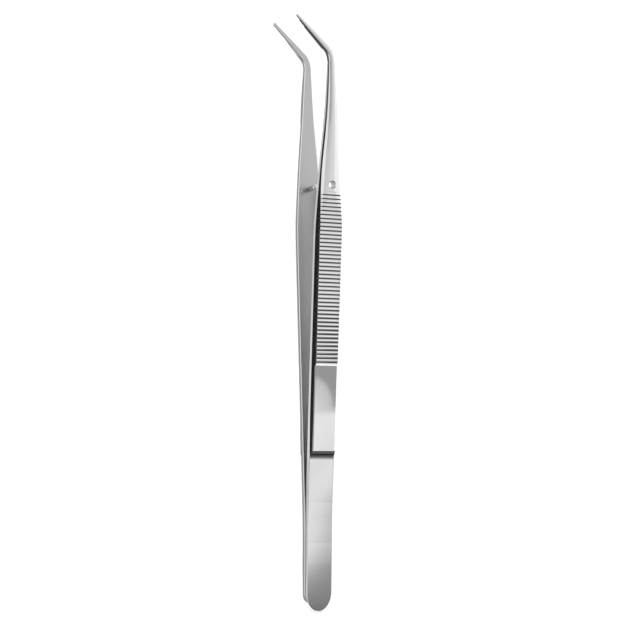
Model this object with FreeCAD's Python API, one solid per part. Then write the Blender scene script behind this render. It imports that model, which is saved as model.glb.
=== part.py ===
import FreeCAD, Part
import math
import os

# Angled tweezers with a guide pin: two sprung steel arms, joined at the heel.
# Sizes are in millimetres. A station is a distance along an arm from the heel end,
# and a height is a distance from the arm's inner face, out towards its outer face.

# Whole instrument
total_length = 149.3        # heel end to tip end, along Y
opening_angle = 3.35        # degrees, how far each arm leans out from the middle plane

# Heel, where the two arms are joined
heel_width = 7.15
heel_thickness = 1.3
weld_length = 17.0          # the arms lie face to face over this length
spring_radius = 174.0       # gentle bend where each arm starts to lean out
heel_end_length = 4.6       # length of the rounded end in plan
heel_nose_length = 12.0     # length over which the end thins down
heel_nose_thickness = 0.75
heel_edge_round = 0.25

# Step up from the thin heel to the grip
step_station = 38.0
step_radius = 3.4

# Smooth panel and ribbed grip
panel_thickness = 2.25
panel_edge_break = 0.18
grip_thickness = 2.55
rib_start = 61.9
ribbed_length = 44.0
rib_pitch = 1.0
rib_ramp = 0.3              # rise from the panel to the first rib
rib_crown = 0.05            # rounding of each rib's top
groove_width = 0.36
groove_floor = 0.14
groove_depth = 0.5

# Section of the grip
grip_width = 7.45
heel_side_height = 1.45     # the upright part of each side, by the heel
side_height = 1.1           # and along the grip
heel_fade = 12.0            # stretch after the step over which it changes
long_bevel = 0.6            # how far the long bevel above it runs in
face_edge = 0.1             # narrow facet beside the outer face
inner_edge = 0.12           # bevel beside the inner face
grip_crown = 0.02
blank_allowance = 0.1       # taken off the outer face when the ribs are formed

# Slim front part of the arm, up to the bend
widest_station = 94.0
fade_start = 96.0           # the ribbed grip thins towards the front from here
fade_depth = 0.2
neck_station = 110.0
neck_width = 5.75
neck_thickness = 2.3
slim_station = 126.0
slim_width = 3.15
slim_thickness = 2.3
front_curve_length = 30.0   # stretch over which the arm turns parallel again

# Bent tip
tip_angle = 47.5
tip_length = 13.5           # corner of the bend to the end
bend_radius = 4.5           # on the centre line
bend_width = 1.8
bend_thickness = 1.5
tip_width = 0.9
tip_thickness = 1.0

# Guide pin on the rear arm, and its hole in the front arm
pin_station = 107.0
pin_diameter = 1.45
pin_reach = 5.6             # how far it stands out of the inner face
pin_nose_round = 0.5
pin_clearance = 0.4         # on the diameter, between the pin and the guide hole
hole_edge_break = 0.12

# Places that follow from the sizes above
lean = math.radians(opening_angle)
tip_turn = math.radians(tip_angle)
straight_start = weld_length + spring_radius * lean
straight_y = weld_length + spring_radius * math.sin(lean)
straight_z = spring_radius * (1 - math.cos(lean))
tip_round = tip_width / 2
corner_y = total_length - tip_round - (tip_length - tip_round) * math.cos(tip_turn)
bend_setback = bend_radius * math.tan(tip_turn / 2)
front_radius = front_curve_length / lean
front_run = front_radius * math.sin(lean)
curve_start = straight_start + (corner_y - bend_setback - front_run - straight_y) / math.cos(lean)
bend_station = curve_start + front_curve_length
step_turn = math.acos(1 - (panel_thickness - heel_thickness) / step_radius)
panel_start = step_station + step_radius * math.sin(step_turn)
panel_end = rib_start - rib_ramp
rib_count = round(ribbed_length / rib_pitch)
rib_end = rib_start + rib_count * rib_pitch
blank_thickness = grip_thickness + blank_allowance + grip_crown

# Width and thickness of an arm along its length, as (station, size)
width_line = (
    (0, heel_width),
    (straight_start, heel_width),
    (widest_station, grip_width),
    (neck_station, neck_width),
    (slim_station, slim_width),
    (bend_station, bend_width),
)
thickness_line = (
    (0, blank_thickness),
    (fade_start, blank_thickness),
    (neck_station, neck_thickness),
    (slim_station, slim_thickness),
    (bend_station, bend_thickness),
)

origin = FreeCAD.Vector(0, 0, 0)
x_axis = FreeCAD.Vector(1, 0, 0)
y_axis = FreeCAD.Vector(0, 1, 0)
z_axis = FreeCAD.Vector(0, 0, 1)


def line_angle(station):
    """Lean of the arm at a station: weld, gentle bend, straight grip, front curve."""
    if station <= weld_length:
        return 0.0
    if station < straight_start:
        return (station - weld_length) / spring_radius
    if station <= curve_start:
        return lean
    return lean - (station - curve_start) / front_radius


def outward(station):
    """Direction square to the arm, from its inner face out."""
    angle = line_angle(station)
    return FreeCAD.Vector(0, -math.sin(angle), math.cos(angle))


def side_point(station, height):
    """Point at a height above the arm's inner face, in the side view."""
    angle = line_angle(station)
    if station <= weld_length:
        y, z = station, 0.0
    elif station < straight_start:
        y = weld_length + spring_radius * math.sin(angle)
        z = spring_radius * (1 - math.cos(angle))
    else:
        along = min(station, curve_start) - straight_start
        y = straight_y + along * math.cos(lean)
        z = straight_z + along * math.sin(lean)
    if station > curve_start:
        y += front_radius * (math.sin(lean) - math.sin(angle))
        z += front_radius * (math.cos(angle) - math.cos(lean))
    return FreeCAD.Vector(0, y, z) + outward(station) * height


def size_along(line, station):
    """Smooth line through (station, size) points, without humps, read at one station."""
    slopes = [(b[1] - a[1]) / (b[0] - a[0]) for a, b in zip(line, line[1:])]
    tangents = [slopes[0]]
    for before, after in zip(slopes, slopes[1:]):
        peak = before * after <= 0
        tangents.append(0.0 if peak else 2 * before * after / (before + after))
    tangents.append(slopes[-1])
    index = 0
    while index < len(slopes) - 1 and station > line[index + 1][0]:
        index += 1
    run = line[index + 1][0] - line[index][0]
    rise = line[index + 1][1] - line[index][1]
    t = (station - line[index][0]) / run
    start = tangents[index] * run
    end = tangents[index + 1] * run
    return (line[index][1] + start * t + (3 * rise - 2 * start - end) * t ** 2
            + (start + end - 2 * rise) * t ** 3)


def blend(before, after, station, start, end):
    """Sizes that pass smoothly from one set to the next between two stations."""
    share = min(1.0, max(0.0, (station - start) / (end - start)))
    share = share * share * (3 - 2 * share)
    return [a * (1 - share) + b * share for a, b in zip(before, after)]


def slim_shape(width, thickness):
    """Section sizes of the front part: width, thickness, side, bevel, face edge, crown."""
    return width, thickness, 0.42 * thickness, 0.045 * width, 0.1 * width, 0.12 * thickness


def arm_shape(station):
    """Section sizes from the heel to the bend of the tip."""
    width = size_along(width_line, station)
    thickness = size_along(thickness_line, station)
    heel = (width, thickness, heel_side_height, long_bevel, face_edge, grip_crown)
    grip = (width, thickness, side_height, long_bevel, face_edge, grip_crown)
    shape = blend(heel, grip, station, step_station, step_station + heel_fade)
    return blend(shape, slim_shape(width, thickness), station, fade_start, neck_station)


def ring(foot, across, up, shape):
    """Corners of a section, right side up then left side down, and its crown's pole."""
    width, thickness, side, bevel, edge, crown = shape
    half = width / 2
    inner = min(inner_edge, 0.15 * width)
    face = thickness - crown
    right = (
        (half - inner, 0.0),
        (half, 1.2 * inner),
        (half, side),
        (half - bevel, face - edge),
        (half - bevel - edge, face),
    )
    corners = [foot + across * x + up * z for x, z in right]
    corners += [foot - across * x + up * z for x, z in reversed(right)]
    return corners, foot + up * (thickness + crown)


def arm_ring(station):
    return ring(side_point(station, 0), x_axis, outward(station), arm_shape(station))


def ring_face(one_ring):
    """Flat face that fills a section: straight edges, and the crowned outer one."""
    corners, pole = one_ring
    crowned = len(corners) // 2 - 1
    edges = []
    for index, corner in enumerate(corners):
        after = corners[(index + 1) % len(corners)]
        if index == crowned:
            curve = Part.BezierCurve()
            curve.setPoles([corner, pole, after])
            edges.append(curve.toShape())
        else:
            edges.append(Part.makeLine(corner, after))
    return Part.Face(Part.Wire(edges))


def long_surface(rows, stations):
    """Surface along the arm through two or three rows of points."""
    curves = []
    for row in rows:
        curve = Part.BSplineCurve()
        curve.interpolate(Points=row, Parameters=stations)
        curves.append(curve)
    order = len(rows)
    surface = Part.BSplineSurface()
    surface.buildFromPolesMultsKnots(
        [curve.getPoles() for curve in curves],
        [order, order], curves[0].getMultiplicities(),
        [0, 1], curves[0].getKnots(),
        False, False, order - 1, curves[0].Degree)
    return surface.toShape()


def skin(rings, stations):
    """Closed body with a smooth face along each side of its sections."""
    corner_count = len(rings[0][0])
    faces = [ring_face(rings[0]), ring_face(rings[-1])]
    for index in range(corner_count):
        after = (index + 1) % corner_count
        rows = [[corners[index] for corners, pole in rings], [corners[after] for corners, pole in rings]]
        if index == corner_count // 2 - 1:
            rows.insert(1, [pole for corners, pole in rings])
        faces.append(long_surface(rows, stations))
    shell = Part.Shell(faces)
    shell.sewShape()
    return Part.Solid(shell)


def side_cutter(edges, start, end):
    """Solid above a line of edges in the side view, wider than the arm."""
    first = edges[0].Vertexes[0].Point
    last = edges[-1].Vertexes[-1].Point
    lid = 3 * grip_thickness
    corners = [last, side_point(end, lid), side_point(start, lid), first]
    edges = edges + [Part.makeLine(a, b) for a, b in zip(corners, corners[1:])]
    face = Part.Face(Part.Wire(edges))
    face.translate(x_axis * -grip_width)
    return face.extrude(x_axis * 2 * grip_width)


def end_trimmer(end, along, across, half_width, length):
    """What is cut away to leave a rounded end in plan, round or drawn out."""
    centre = end + along * length
    sides = [centre - across * half_width, centre + across * half_width]
    if abs(length - half_width) < 1e-6:
        arc = Part.Arc(sides[0], end, sides[1])
    elif length > half_width:
        arc = Part.ArcOfEllipse(Part.Ellipse(end, sides[1], centre), -math.pi / 2, math.pi / 2)
    else:
        arc = Part.ArcOfEllipse(Part.Ellipse(sides[1], end, centre), 0, math.pi)
    rounded = arc.toShape()
    first = rounded.Vertexes[0].Point
    last = rounded.Vertexes[-1].Point
    spare = (last - centre).normalize() * half_width
    back = along * -2 * length
    corners = [last, last + spare, last + spare + back, first - spare + back, first - spare, first]
    edges = [rounded] + [Part.makeLine(a, b) for a, b in zip(corners, corners[1:])]
    face = Part.Face(Part.Wire(edges))
    face.translate(z_axis * -grip_thickness)
    return face.extrude(z_axis * total_length)


def heel_cutter():
    """Everything above the thin heel, whose end thins down to a nose."""
    nose_start = side_point(0, heel_nose_thickness)
    nose_end = side_point(heel_nose_length, heel_thickness)
    rise = heel_thickness - heel_nose_thickness
    ellipse = Part.Ellipse(nose_start, nose_end, nose_end - z_axis * rise)
    weld_end = side_point(weld_length, heel_thickness)
    beyond = 1.2 * lean
    radius = spring_radius - heel_thickness
    centre = FreeCAD.Vector(0, weld_length, spring_radius)
    bend = [centre + FreeCAD.Vector(0, math.sin(angle), -math.cos(angle)) * radius
            for angle in (beyond / 2, beyond)]
    edges = [
        Part.makeLine(nose_start - y_axis, nose_start),
        Part.ArcOfEllipse(ellipse, 0, math.pi / 2).toShape(),
        Part.makeLine(nose_end, weld_end),
        Part.Arc(weld_end, bend[0], bend[1]).toShape(),
    ]
    return side_cutter(edges, -heel_end_length, straight_start + heel_width)


def heel_piece():
    """Welded stretch and gentle bend, thin, with the rounded end."""
    straight = ring_face(arm_ring(0)).extrude(y_axis * weld_length)
    centre = FreeCAD.Vector(0, weld_length, spring_radius)
    bend = ring_face(arm_ring(weld_length)).revolve(centre, x_axis, opening_angle)
    blank = straight.fuse(bend).cut(heel_cutter())
    return blank.cut(end_trimmer(origin, y_axis, x_axis, heel_width / 2, heel_end_length))


def crest_height(station):
    """Height of the rib tops: level, then fading towards the front."""
    share = max(0.0, station - fade_start) / (rib_end - fade_start)
    return grip_thickness - fade_depth * share * share


def rib_edges(start):
    """Side view of one groove and the rounded ridge after it."""
    middle = start + rib_pitch / 2
    floor = crest_height(middle) - groove_depth
    ridge = middle + rib_pitch / 2
    half = groove_width / 2
    before = side_point(middle - half, crest_height(middle) - rib_crown)
    after = side_point(middle + half, crest_height(middle) - rib_crown)
    next_groove = middle + rib_pitch
    points = [
        before,
        side_point(middle - groove_floor / 2, floor),
        side_point(middle + groove_floor / 2, floor),
        after,
    ]
    edges = [Part.makeLine(a, b) for a, b in zip(points, points[1:])]
    crest = side_point(ridge, crest_height(ridge))
    foot = side_point(next_groove - half, crest_height(next_groove) - rib_crown)
    edges.append(Part.Arc(after, crest, foot).toShape())
    return edges


def grip_cutter():
    """Everything above the finished grip: thin heel, step, smooth panel and ribs."""
    foot = side_point(step_station, heel_thickness)
    back = foot - (foot - side_point(straight_start, heel_thickness)) * 1.5
    step = [side_point(step_station + step_radius * math.sin(angle),
                       heel_thickness + step_radius * (1 - math.cos(angle)))
            for angle in (step_turn / 2, step_turn)]
    panel = side_point(panel_end, panel_thickness)
    crest = side_point(rib_start, grip_thickness)
    groove = side_point(rib_start + (rib_pitch - groove_width) / 2, grip_thickness - rib_crown)
    edges = [
        Part.makeLine(back, foot),
        Part.Arc(foot, step[0], step[1]).toShape(),
        Part.makeLine(step[1], panel),
        Part.makeLine(panel, crest),
        Part.makeLine(crest, groove),
    ]
    for number in range(rib_count - 1):
        edges += rib_edges(rib_start + number * rib_pitch)
    return side_cutter(edges, weld_length, rib_end)


def main_piece():
    """The arm from the gentle bend to the bend of the tip."""
    spans = 16
    pitch = (bend_station - straight_start) / spans
    stations = [straight_start + number * pitch for number in range(spans + 1)]
    return skin([arm_ring(station) for station in stations], stations).cut(grip_cutter())


def tip_piece():
    """Bend in plan, then the slim tapered tip with its round end."""
    pivot = side_point(bend_station, 0) - x_axis * bend_radius
    bend = ring_face(arm_ring(bend_station)).revolve(pivot, z_axis, tip_angle)
    along = FreeCAD.Vector(-math.sin(tip_turn), math.cos(tip_turn), 0)
    across = FreeCAD.Vector(math.cos(tip_turn), math.sin(tip_turn), 0)
    start = pivot + across * bend_radius
    end = start + along * (tip_length - bend_setback)
    rings = [
        ring(start, across, z_axis, arm_shape(bend_station)),
        ring(end, across, z_axis, slim_shape(tip_width, tip_thickness)),
    ]
    tip = Part.makeLoft([ring_face(one).OuterWire for one in rings], True, True)
    trimmer = end_trimmer(end, along * -1, across, tip_round, tip_round)
    return bend.fuse(tip).cut(trimmer)


def face_rise(face, edge):
    """Upward part of a face's normal beside the middle of its edge."""
    middle = edge.valueAt((edge.FirstParameter + edge.LastParameter) / 2)
    return abs(face.normalAt(*face.Surface.parameter(middle)).z)


def outer_edges(body, first, last, thickness):
    """Edges between the outer side and the long sides of a stretch of this thickness."""
    low = side_point(first, thickness).y - 0.01
    high = side_point(last, thickness).y + 0.01
    chosen = []
    for edge in body.Edges:
        box = edge.BoundBox
        crosswise = box.YLength < 0.01
        if crosswise or box.YMin < low or box.YMax > high or box.ZMin < thickness / 2:
            continue
        rises = sorted(face_rise(face, edge) for face in body.ancestorsOfType(edge, Part.Face))
        if len(rises) == 2 and rises[0] < 0.5 < rises[1]:
            chosen.append(edge)
    return chosen


def arm_body():
    """One arm in the frame of the middle plane, without its hole."""
    body = main_piece().fuse([heel_piece(), tip_piece()]).removeSplitter().Solids[0]
    heel = outer_edges(body, 0, step_station, heel_thickness)
    body = body.makeFillet(heel_edge_round, heel)
    panel = outer_edges(body, panel_start, panel_end, panel_thickness)
    return body.makeChamfer(panel_edge_break, panel)


def pin_hole(diameter):
    """Cylinder right through the arm where the guide pin stands."""
    reach = 2 * grip_thickness
    foot = side_point(pin_station, -reach)
    return Part.makeCylinder(diameter / 2, 2 * reach, foot, outward(pin_station))


def mirrored(shape):
    """The rear arm is the front arm's mirror image in the middle plane."""
    return shape.mirror(origin, z_axis)


def front_arm(body):
    """Arm with the round guide hole, its sharp rims taken off."""
    radius = (pin_diameter + pin_clearance) / 2
    arm = body.cut(pin_hole(2 * radius)).Solids[0]
    rims = []
    for face in arm.Faces:
        if face.Surface.TypeId == "Part::GeomCylinder" and abs(face.Surface.Radius - radius) < 1e-6:
            rims += [edge for edge in face.Edges if edge.Curve.TypeId != "Part::GeomLine"]
    return arm.makeChamfer(hole_edge_break, rims)


def rear_arm(body):
    """Arm with the bore that the guide pin is pressed into."""
    return mirrored(body.cut(pin_hole(pin_diameter)))


def guide_pin(body):
    """Pin with a rounded nose, its root ground flush with the arm's outer side."""
    root = pin_hole(pin_diameter).common(body)
    nose = side_point(pin_station, -pin_reach)
    overlap = neck_thickness / 2
    shank = Part.makeCylinder(pin_diameter / 2, pin_reach + overlap, nose, outward(pin_station))
    rim = [edge for edge in shank.Edges if edge.CenterOfMass.distanceToPoint(nose) < 0.01]
    shank = shank.makeFillet(pin_nose_round, rim)
    return mirrored(root.fuse(shank).removeSplitter())


def placed(shape):
    """Lay the part down: the rear panel faces straight down, with its centre at the origin."""
    centre = side_point((panel_start + panel_end) / 2, panel_thickness)
    turn = FreeCAD.Rotation(x_axis, opening_angle)
    shift = turn.multVec(FreeCAD.Vector(0, centre.y, -centre.z))
    result = shape.copy()
    result.Placement = FreeCAD.Placement(shift * -1, turn).multiply(result.Placement)
    return result


def main():
    os.makedirs("parts", exist_ok=True)
    body = arm_body()
    pieces = {
        "front_arm": front_arm(body),
        "rear_arm": rear_arm(body),
        "guide_pin": guide_pin(body),
    }
    for name, shape in pieces.items():
        piece = placed(shape.Solids[0])
        piece.exportStep("parts/" + name + ".step")
        box = piece.BoundBox
        print(name, len(shape.Solids), piece.isValid(), round(piece.Volume, 2), len(piece.Faces),
              [round(value, 2) for value in (box.XMin, box.XMax, box.YMin, box.YMax, box.ZMin, box.ZMax)])


main()
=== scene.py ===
import math

import bpy
from mathutils import Matrix, Vector


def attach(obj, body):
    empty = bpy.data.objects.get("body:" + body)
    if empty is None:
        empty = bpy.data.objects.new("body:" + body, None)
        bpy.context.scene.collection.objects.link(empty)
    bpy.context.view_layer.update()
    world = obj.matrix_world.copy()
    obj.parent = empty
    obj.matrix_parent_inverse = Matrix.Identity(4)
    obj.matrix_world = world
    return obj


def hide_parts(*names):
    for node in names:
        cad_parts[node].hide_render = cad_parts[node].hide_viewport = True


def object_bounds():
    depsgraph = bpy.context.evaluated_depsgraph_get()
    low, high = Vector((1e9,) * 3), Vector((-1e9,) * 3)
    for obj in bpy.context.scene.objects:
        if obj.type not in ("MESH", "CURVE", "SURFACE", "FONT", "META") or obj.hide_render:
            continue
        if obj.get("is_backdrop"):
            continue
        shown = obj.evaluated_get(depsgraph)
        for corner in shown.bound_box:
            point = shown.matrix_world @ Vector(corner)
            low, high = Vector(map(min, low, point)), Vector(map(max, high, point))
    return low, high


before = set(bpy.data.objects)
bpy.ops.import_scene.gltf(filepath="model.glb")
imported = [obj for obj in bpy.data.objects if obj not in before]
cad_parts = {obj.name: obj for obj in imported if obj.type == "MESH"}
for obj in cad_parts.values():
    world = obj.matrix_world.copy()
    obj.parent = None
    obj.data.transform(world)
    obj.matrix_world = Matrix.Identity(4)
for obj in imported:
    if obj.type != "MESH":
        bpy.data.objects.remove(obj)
cadLow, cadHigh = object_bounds()
mm = 0.001
scene = bpy.context.scene
scene.view_settings.view_transform = "Standard"

# Each steel: its grey, the middle and spread of its roughness, the depth of its marks and their
# size along X, Y and Z, both in mm
steelLook = {
    "polished steel": (0.80, (0.085, 0.03), 0.0006, (0.5, 0.5, 0.5)),
    "satin steel": (0.60, (0.34, 0.05), 0.02, (0.15, 0.15, 0.15)),
    # Matt steel, for the grooves: its roughness is real, and its dark grey is painted shade in the grooves
    "matt steel with painted groove shade": (0.24, (0.5, 0.08), 0.004, (0.15, 0.15, 0.15)),
    "reamed steel": (0.92, (0.6, 0.05), 0.0006, (0.15, 0.15, 0.15)),
    "turned steel": (0.95, (0.32, 0.05), 0.0006, (0.6, 0.6, 0.05)),
    "noiseRange": (0.3, 0.7),     # values of the noise that give the least and the most roughness
    "noiseDetail": 3,
}


def steel(name):
    grey, (roughness, spread), depth, markSize = steelLook[name]
    material = bpy.data.materials.new(name)
    material.use_nodes = True
    nodes, links = material.node_tree.nodes, material.node_tree.links
    shader = nodes["Principled BSDF"]
    shader.inputs["Base Color"].default_value = (grey, grey, grey, 1)
    shader.inputs["Metallic"].default_value = 1
    place = nodes.new("ShaderNodeTexCoord")
    stretch = nodes.new("ShaderNodeMapping")
    stretch.inputs["Scale"].default_value = [1 / (size * mm) for size in markSize]
    marks = nodes.new("ShaderNodeTexNoise")
    marks.inputs["Scale"].default_value = 1
    marks.inputs["Detail"].default_value = steelLook["noiseDetail"]
    bump = nodes.new("ShaderNodeBump")
    bump.inputs["Distance"].default_value = depth * mm
    uneven = nodes.new("ShaderNodeMapRange")
    least, most = steelLook["noiseRange"]
    uneven.inputs["From Min"].default_value = least
    uneven.inputs["From Max"].default_value = most
    uneven.inputs["To Min"].default_value = roughness - spread
    uneven.inputs["To Max"].default_value = roughness + spread
    links.new(place.outputs["Object"], stretch.inputs["Vector"])
    links.new(stretch.outputs["Vector"], marks.inputs["Vector"])
    links.new(marks.outputs["Fac"], bump.inputs["Height"])
    links.new(bump.outputs["Normal"], shader.inputs["Normal"])
    links.new(marks.outputs["Fac"], uneven.inputs["Value"])
    links.new(uneven.outputs["Result"], shader.inputs["Roughness"])
    return material


# Copy of a CAD node, with its own mesh and its exact normals
def dressed(node, name, materials):
    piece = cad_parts[node].copy()
    piece.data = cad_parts[node].data.copy()
    piece.name = name
    piece.data.name = name
    piece.parent = None
    scene.collection.objects.link(piece)
    piece.data.materials.clear()
    for material in materials:
        piece.data.materials.append(material)
    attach(piece, "root")
    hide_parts(node)
    return piece


# Both arms: polished, with a satin inner face, matt grooves and a reamed guide hole; the grooves' steel is
# also painted dark, as painted shade in them
armLook = {
    "lean": 3.35,                 # how far an arm leans away from the middle plane, in degrees
    "facing": 0.97,               # least cosine between a normal and a direction that it faces
    "steep": 0.7,                 # the same for a groove's flanks
    "upright": 0.3,               # greatest cosine for a face that stands upright
    "ribbed": (10.8, 54.7),       # stations of the grooves along Y, in mm
    "grooveHeights": (1.2, 2.2),  # heights over the inner face that a groove's floor lies between
    "boreStations": (54.6, 57.6),
    "boreHalf": 1.05,             # half of the stretch across that holds the hole's wall, in mm
}
armSteels = [steel(name) for name in ("polished steel", "satin steel", "matt steel with painted groove shade", "reamed steel")]
polishedPlace, satinPlace, shadedGroovePlace, reamedPlace = range(4)


def steelPlace(face, inward, along, plane):
    height = (plane - face.center.dot(inward)) / mm
    station = face.center.y / mm
    low, high = armLook["ribbed"]
    least, most = armLook["grooveHeights"]
    near, far = armLook["boreStations"]
    grooved = low < station < high and abs(face.normal.x) < armLook["upright"] and height > least
    bored = near < station < far and abs(face.center.x) < armLook["boreHalf"] * mm
    if face.normal.dot(inward) > armLook["facing"]:
        return satinPlace
    if bored and abs(face.normal.dot(inward)) < armLook["upright"]:
        return reamedPlace
    # Groove floors and steep flanks take the dark matt steel, which paints the shade in the grooves
    if grooved and (height < most or abs(face.normal.dot(along)) > armLook["steep"]):
        return shadedGroovePlace
    return polishedPlace


def finished(arm, inward):
    along = inward.cross(Vector((1, 0, 0)))
    faces = arm.data.polygons
    inner = [face for face in faces if face.normal.dot(inward) > armLook["facing"]]
    plane = sum(face.center.dot(inward) * face.area for face in inner) / sum(face.area for face in inner)
    for face in faces:
        face.material_index = steelPlace(face, inward, along, plane)


lean = math.radians(armLook["lean"])
frontArm = dressed("front_arm", "frontArm", armSteels)
rearArm = dressed("rear_arm", "rearArm", armSteels)
finished(frontArm, Vector((0, math.sin(2 * lean), -math.cos(2 * lean))))
finished(rearArm, Vector((0, 0, 1)))
print("arms dressed")

pinLook = {
    "free": 5.0,                  # height above which the pin's free end lies, in mm
    "shorter": 1.8,               # how much less the photo's pin stands out than the solid, in mm
}
guidePin = dressed("guide_pin", "guidePin", [steel("turned steel")])
for corner in guidePin.data.vertices:
    if corner.co.z > pinLook["free"] * mm:
        corner.co.z -= pinLook["shorter"] * mm
print("pin dressed")

# Lights: a studio whose brightness is the product of a fade along X and a fade along Y, each
# given as pairs of direction and level, and one softbox that no reflection shows
lightLook = {
    "sideways": ((-1.0, 0.9), (-0.88, 1.15), (-0.79, 0.9), (-0.67, 0.38), (-0.41, 0.33), (-0.21, 0.5),
                 (0.14, 0.8), (0.47, 0.97), (0.74, 1.1), (0.91, 1.2), (0.96, 0.5)),
    "lengthways": ((-0.9, 0.12), (-0.7, 0.11), (-0.55, 0.5), (-0.35, 0.95), (-0.1, 1.0), (0.6, 0.95),
                   (0.85, 0.6)),
    "softboxSide": 0.9,           # m
    "softboxPlace": (-0.45, 0.35, 0.8),
    "softboxPower": 12.0,
}


# Grey level that follows the stops, which are pairs of place and level from -reach to reach
def fading(nodes, links, value, stops, reach=1.0, blend="EASE"):
    span = nodes.new("ShaderNodeMapRange")
    span.inputs["From Min"].default_value = -reach
    span.inputs["From Max"].default_value = reach
    links.new(value, span.inputs["Value"])
    ramp = nodes.new("ShaderNodeValToRGB")
    ramp.color_ramp.interpolation = blend
    points = ramp.color_ramp.elements
    while len(points) < len(stops):
        points.new(1.0)
    for point, (place, level) in zip(points, stops):
        point.position = (place / reach + 1) / 2
        point.color = (level, level, level, 1)
    links.new(span.outputs["Result"], ramp.inputs["Fac"])
    return ramp.outputs["Color"]


def vectorMath(nodes, links, operation, first, second=None):
    node = nodes.new("ShaderNodeVectorMath")
    node.operation = operation
    links.new(first, node.inputs[0])
    if isinstance(second, tuple):
        node.inputs[1].default_value = second
    elif second:
        links.new(second, node.inputs[1])
    return node.outputs["Value"] if operation in ("DOT_PRODUCT", "LENGTH") else node.outputs["Vector"]


def coordinate(nodes, links, vector, axis):
    parts = nodes.new("ShaderNodeSeparateXYZ")
    links.new(vector, parts.inputs["Vector"])
    return parts.outputs[axis]


world = bpy.data.worlds.new("studio")
scene.world = world
world.use_nodes = True
nodes, links = world.node_tree.nodes, world.node_tree.links
direction = nodes.new("ShaderNodeTexCoord").outputs["Generated"]
sideways = fading(nodes, links, coordinate(nodes, links, direction, "X"), lightLook["sideways"])
lengthways = fading(nodes, links, coordinate(nodes, links, direction, "Y"), lightLook["lengthways"])
product = vectorMath(nodes, links, "MULTIPLY", sideways, lengthways)
links.new(product, nodes["Background"].inputs["Color"])

lampData = bpy.data.lights.new("softbox", "AREA")
lampData.size = lightLook["softboxSide"]
lampData.energy = lightLook["softboxPower"]
softbox = bpy.data.objects.new("softbox", lampData)
scene.collection.objects.link(softbox)
softbox.location = lightLook["softboxPlace"]
softbox.rotation_euler = (-Vector(lightLook["softboxPlace"])).to_track_quat("-Z", "Y").to_euler()
softbox.visible_glossy = False
print("lights placed")


# Flags, scrims and cards: only reflections show them
def seenInReflections(thing):
    thing.visible_camera = False
    thing.visible_diffuse = False
    thing.visible_shadow = False
    thing.visible_transmission = False
    thing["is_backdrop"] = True


# Level card between two corners, which are stations across and along in mm
def flatCard(name, low, high, height):
    bpy.ops.object.select_all(action="DESELECT")
    bpy.ops.mesh.primitive_plane_add(size=1)
    card = bpy.context.object
    card.name = name
    bpy.ops.object.mode_set(mode="EDIT")
    bpy.ops.transform.resize(value=((high[0] - low[0]) * mm, (high[1] - low[1]) * mm, 1))
    centre = ((low[0] + high[0]) / 2 * mm, (low[1] + high[1]) / 2 * mm, height * mm)
    bpy.ops.transform.translate(value=centre)
    bpy.ops.object.mode_set(mode="OBJECT")
    return card


# Material of one shader, with the nodes that its colour is still to come from
def plainMaterial(name, shaderKind):
    material = bpy.data.materials.new(name)
    material.use_nodes = True
    nodes, links = material.node_tree.nodes, material.node_tree.links
    nodes.clear()
    shader = nodes.new(shaderKind)
    output = nodes.new("ShaderNodeOutputMaterial")
    links.new(shader.outputs[0], output.inputs["Surface"])
    return material, nodes, links, shader


# Two dark flags: one upright beside the arms, for the long bevels to mirror, and one level under
# the front tip
flagLook = {
    "side": -8.2,                 # station across of the upright flag, mm
    "ends": (-30, 88),            # its stations along the arms, mm
    "heelEdges": (3.9, 5.0),      # heights of its lower and upper edge at the heel end, mm
    "frontEdges": (7.2, 18.5),
    "black": 0.02,
    "tipLow": (-16, 60),          # corners of the level flag, mm
    "tipHigh": (-2.6, 92.5),
    "tipHeight": 11,
    "tipSlant": 5,                # how much further left its inner edge stands at the low end, mm
    "tipBlack": 0.08,
}
low, high = flagLook["ends"]
flag = flatCard("flag", (-0.5, low), (0.5, high), 0)
for corner in flag.data.vertices:
    edges = flagLook["heelEdges"] if corner.co.y < (low + high) / 2 * mm else flagLook["frontEdges"]
    height = edges[0] if corner.co.x < 0 else edges[1]
    corner.co = (flagLook["side"] * mm, corner.co.y, height * mm)
tipFlag = flatCard("tipFlag", flagLook["tipLow"], flagLook["tipHigh"], flagLook["tipHeight"])
middle = (Vector(flagLook["tipLow"]) + Vector(flagLook["tipHigh"])) / 2 * mm
for corner in tipFlag.data.vertices:
    if corner.co.y < middle.y and corner.co.x > middle.x:
        corner.co.x -= flagLook["tipSlant"] * mm
for card, level in ((flag, flagLook["black"]), (tipFlag, flagLook["tipBlack"])):
    felt = bpy.data.materials.new(card.name + " felt")
    felt.use_nodes = True
    shader = felt.node_tree.nodes["Principled BSDF"]
    shader.inputs["Base Color"].default_value = (level, level, level, 1)
    shader.inputs["Roughness"].default_value = 1
    card.data.materials.append(felt)
    seenInReflections(card)
print("flags placed")

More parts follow.
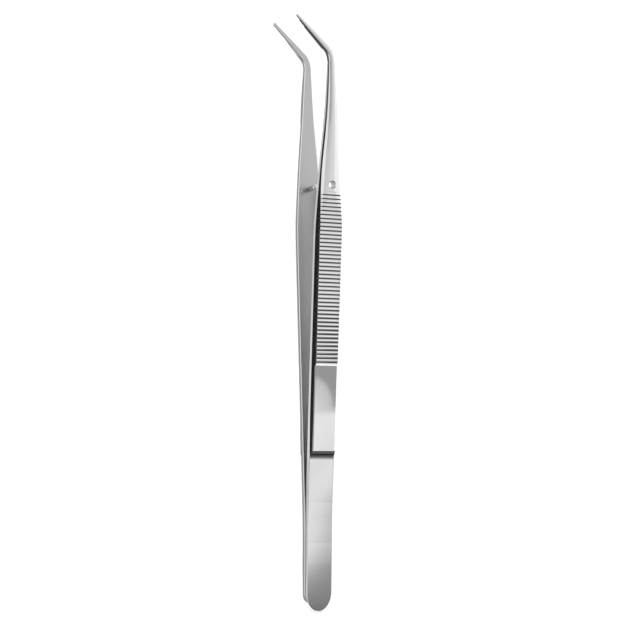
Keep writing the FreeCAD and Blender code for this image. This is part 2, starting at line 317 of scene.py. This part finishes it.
# Scrim over everything, which darkens towards the heel end
heelScrimLook = {
    "side": 400,                  # mm
    "height": 100,
    "middle": 51,                 # station across that the heel's middle mirrors, mm
    "tilt": 1.1,                  # how much lower the fade starts for each mm to the right
    "reach": 160,                 # mm
    "fade": ((-90, 0.25), (-78, 0.28), (-66, 0.33), (-60, 0.39), (-56, 0.47), (-54, 0.54), (-50.3, 0.66),
             (-48, 0.76), (-46, 0.86), (-44.4, 0.93), (-43, 0.96), (-36.5, 0.96), (-31, 0.89), (-26, 0.98),
             (-19, 1.0), (40, 1.0), (52, 0.85), (90, 0.88)),
}
half = heelScrimLook["side"] / 2
heelScrim = flatCard("heelScrim", (-half, -half), (half, half), heelScrimLook["height"])
cloth, nodes, links, clear = plainMaterial("fading scrim", "ShaderNodeBsdfTransparent")
place = nodes.new("ShaderNodeTexCoord").outputs["Object"]
slanted = vectorMath(nodes, links, "DOT_PRODUCT", place, (-heelScrimLook["tilt"], 1, 0))
offset = heelScrimLook["tilt"] * heelScrimLook["middle"]
stops = [((station - offset) * mm, level) for station, level in heelScrimLook["fade"]]
faded = fading(nodes, links, slanted, stops, heelScrimLook["reach"] * mm, "LINEAR")
links.new(faded, clear.inputs["Color"])
heelScrim.data.materials.append(cloth)
seenInReflections(heelScrim)

# Small scrim that the smooth panel mirrors: dark round a light oval, and fading out at the low end
panelScrimLook = {
    "height": 40,
    "low": (6, -7.8),             # its corners, mm
    "high": (26, 7.1),
    "centre": (12.5, -7.8),       # of the oval, mm
    "halfAxes": (7.5, 10.6),
    "fade": ((0, 0.97), (0.2, 0.9), (0.42, 0.83), (0.66, 0.75), (0.92, 0.7), (0.99, 0.6), (1.07, 0.38)),
    "reach": 2,                   # of the fade, in half axes
    "lowEnd": ((-7.8, 1.0), (-3, 0.0)),
    "lowEndReach": 20,            # mm
}
panelScrim = flatCard("panelScrim", panelScrimLook["low"], panelScrimLook["high"], panelScrimLook["height"])
cloth, nodes, links, clear = plainMaterial("rounded scrim", "ShaderNodeBsdfTransparent")
place = nodes.new("ShaderNodeTexCoord").outputs["Object"]
centre = (*[station * mm for station in panelScrimLook["centre"]], panelScrimLook["height"] * mm)
fromCentre = vectorMath(nodes, links, "SUBTRACT", place, centre)
halfAxes = (*[axis * mm for axis in panelScrimLook["halfAxes"]], 1)
inHalfAxes = vectorMath(nodes, links, "DIVIDE", fromCentre, halfAxes)
distance = vectorMath(nodes, links, "LENGTH", inHalfAxes)
rounded = fading(nodes, links, distance, panelScrimLook["fade"], panelScrimLook["reach"])
stops = [(station * mm, level) for station, level in panelScrimLook["lowEnd"]]
ended = fading(nodes, links, coordinate(nodes, links, place, "Y"), stops, panelScrimLook["lowEndReach"] * mm)
links.new(vectorMath(nodes, links, "MAXIMUM", rounded, ended), clear.inputs["Color"])
panelScrim.data.materials.append(cloth)
seenInReflections(panelScrim)
print("scrims placed")

# Grey card on the floor along the left side of the rear arm, which only reflections show: painted floor
# light and contact shade for the arm's side to mirror, darkest along the arm's edge
leftShadeCardLook = {
    "lift": 0.02,                 # height over the floor, mm
    "outline": ((-52, 3.58), (43, 3.73), (59, 2.88), (75, 1.58), (86, 0.9), (92, 0.9)),
    "reach": 9.0,                 # width, mm
    "cuts": 30,                   # enough for the card to follow the outline
    # Grey levels from the card's outer edge to the arm's edge: painted floor light, then painted contact
    # shade
    "levels": ((0, 0.66), (0.39, 0.7), (0.55, 0.85), (0.67, 0.88), (0.74, 0.5), (0.82, 0.36), (1, 0.33)),
}


# Half width of the rear arm at a station, from pairs of station and half width
def halfWidth(station):
    outline = leftShadeCardLook["outline"]
    for (start, first), (end, last) in zip(outline, outline[1:]):
        if station <= end:
            share = max(0, (station - start) / (end - start))
            return first + (last - first) * share
    return outline[-1][1]


heelStation, frontStation = leftShadeCardLook["outline"][0][0], leftShadeCardLook["outline"][-1][0]
cardHeight = cadLow.z / mm + leftShadeCardLook["lift"]
leftShadeCard = flatCard("leftShadeCard", (-1, heelStation), (0, frontStation), cardHeight)
bpy.ops.object.mode_set(mode="EDIT")
bpy.ops.mesh.subdivide(number_cuts=leftShadeCardLook["cuts"])
bpy.ops.object.mode_set(mode="OBJECT")
for corner in leftShadeCard.data.vertices:
    corner.co.x = corner.co.x * leftShadeCardLook["reach"] - halfWidth(corner.co.y / mm) * mm
# The card's glow paints the floor's light and its contact shade beside the arm
grey, nodes, links, shine = plainMaterial("painted floor shade", "ShaderNodeEmission")
place = nodes.new("ShaderNodeTexCoord").outputs["UV"]
across = coordinate(nodes, links, place, "X")
links.new(fading(nodes, links, across, leftShadeCardLook["levels"], 1.0, "LINEAR"), shine.inputs["Color"])
leftShadeCard.data.materials.append(grey)
seenInReflections(leftShadeCard)

# Dark card beside the gap between the arms, which only reflections show: painted shade that the rear arm's
# inner face mirrors next to the front arm
gapShadeCardLook = {
    "low": (4, 12),               # its corners, mm
    "high": (10, 58),
    "height": 8.5,
    "level": 0.3,
}
gapShadeCard = flatCard("gapShadeCard", gapShadeCardLook["low"], gapShadeCardLook["high"], gapShadeCardLook["height"])
# Its dim glow is painted shade from the gap between the arms
dark, nodes, links, shine = plainMaterial("painted gap shade", "ShaderNodeEmission")
shine.inputs["Strength"].default_value = gapShadeCardLook["level"]
gapShadeCard.data.materials.append(dark)
seenInReflections(gapShadeCard)
print("cards placed")

# Floor: as pale as the photo's background, with the shadow kept
floorLook = {
    "side": 3.0,                  # m
    "colour": 0.8,
    "lift": 0.3,                  # glow that the camera and reflections see
}
bpy.ops.object.select_all(action="DESELECT")
bpy.ops.mesh.primitive_plane_add(size=floorLook["side"], location=(0, 0, cadLow.z))
floor = bpy.context.object
floor.name = "floor"
paper = bpy.data.materials.new("white paper")
paper.use_nodes = True
nodes, links = paper.node_tree.nodes, paper.node_tree.links
shader = nodes["Principled BSDF"]
shader.inputs["Base Color"].default_value = (floorLook["colour"],) * 3 + (1,)
shader.inputs["Roughness"].default_value = 1
shader.inputs["Specular IOR Level"].default_value = 0
shader.inputs["Emission Color"].default_value = (1, 1, 1, 1)


def mathNode(operation, first, second):
    node = nodes.new("ShaderNodeMath")
    node.operation = operation
    links.new(first, node.inputs[0])
    if isinstance(second, float):
        node.inputs[1].default_value = second
    else:
        links.new(second, node.inputs[1])
    return node.outputs[0]


rays = nodes.new("ShaderNodeLightPath").outputs
seen = mathNode("MAXIMUM", rays["Is Camera Ray"], rays["Is Glossy Ray"])
seen = mathNode("MAXIMUM", seen, rays["Is Transmission Ray"])
links.new(mathNode("MULTIPLY", seen, floorLook["lift"]), shader.inputs["Emission Strength"])
floor.data.materials.append(paper)
floor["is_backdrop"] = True
print("floor laid")

# Camera: at the photo's angle, to the left of the faces and a little towards the heel
cameraLook = {
    "heelEnd": (0, -50.94, 0.96),                 # middle of the heel's end, mm
    "middleStation": 75,          # station that the camera looks at, in mm from the heel end
    "sideways": 28.0,             # degrees to the left of the faces
    "below": 3.64,                # degrees towards the heel
    "roll": 0.2,                  # degrees
    "distance": 512,              # mm
    "focalPixels": 2024,
    "picturePixels": 625,
    "frameShift": (5.6, 0.0),     # pixels that the object stands off the middle of the frame
    "sensor": 36,                 # mm
    "nearest": 0.01,              # m
}
side = math.radians(cameraLook["sideways"])
below = math.radians(cameraLook["below"])
roll = math.radians(cameraLook["roll"])
tilt = Matrix.Rotation(lean, 3, "X")
towards = Vector((-math.sin(side) * math.cos(below), -math.sin(below), math.cos(side) * math.cos(below)))
towards = tilt @ towards
right = tilt @ Vector((math.cos(side), 0, math.sin(side)))
up = towards.cross(right)
rolledRight = right * math.cos(roll) + up * math.sin(roll)
rolledUp = up * math.cos(roll) - right * math.sin(roll)
target = tilt @ (Vector((0, cameraLook["middleStation"], 0)) * mm)
target += Vector(cameraLook["heelEnd"]) * mm
pixels = cameraLook["picturePixels"]
cameraData = bpy.data.cameras.new("camera")
cameraData.sensor_width = cameraLook["sensor"]
cameraData.lens = cameraLook["sensor"] * cameraLook["focalPixels"] / pixels
cameraData.shift_x = -cameraLook["frameShift"][0] / pixels
cameraData.shift_y = cameraLook["frameShift"][1] / pixels
cameraData.clip_start = cameraLook["nearest"]
camera = bpy.data.objects.new("camera", cameraData)
scene.collection.objects.link(camera)
turned = Matrix((rolledRight, rolledUp, towards)).transposed().to_4x4()
camera.matrix_world = Matrix.Translation(target + towards * cameraLook["distance"] * mm) @ turned
scene.camera = camera
print("camera set")

low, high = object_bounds()
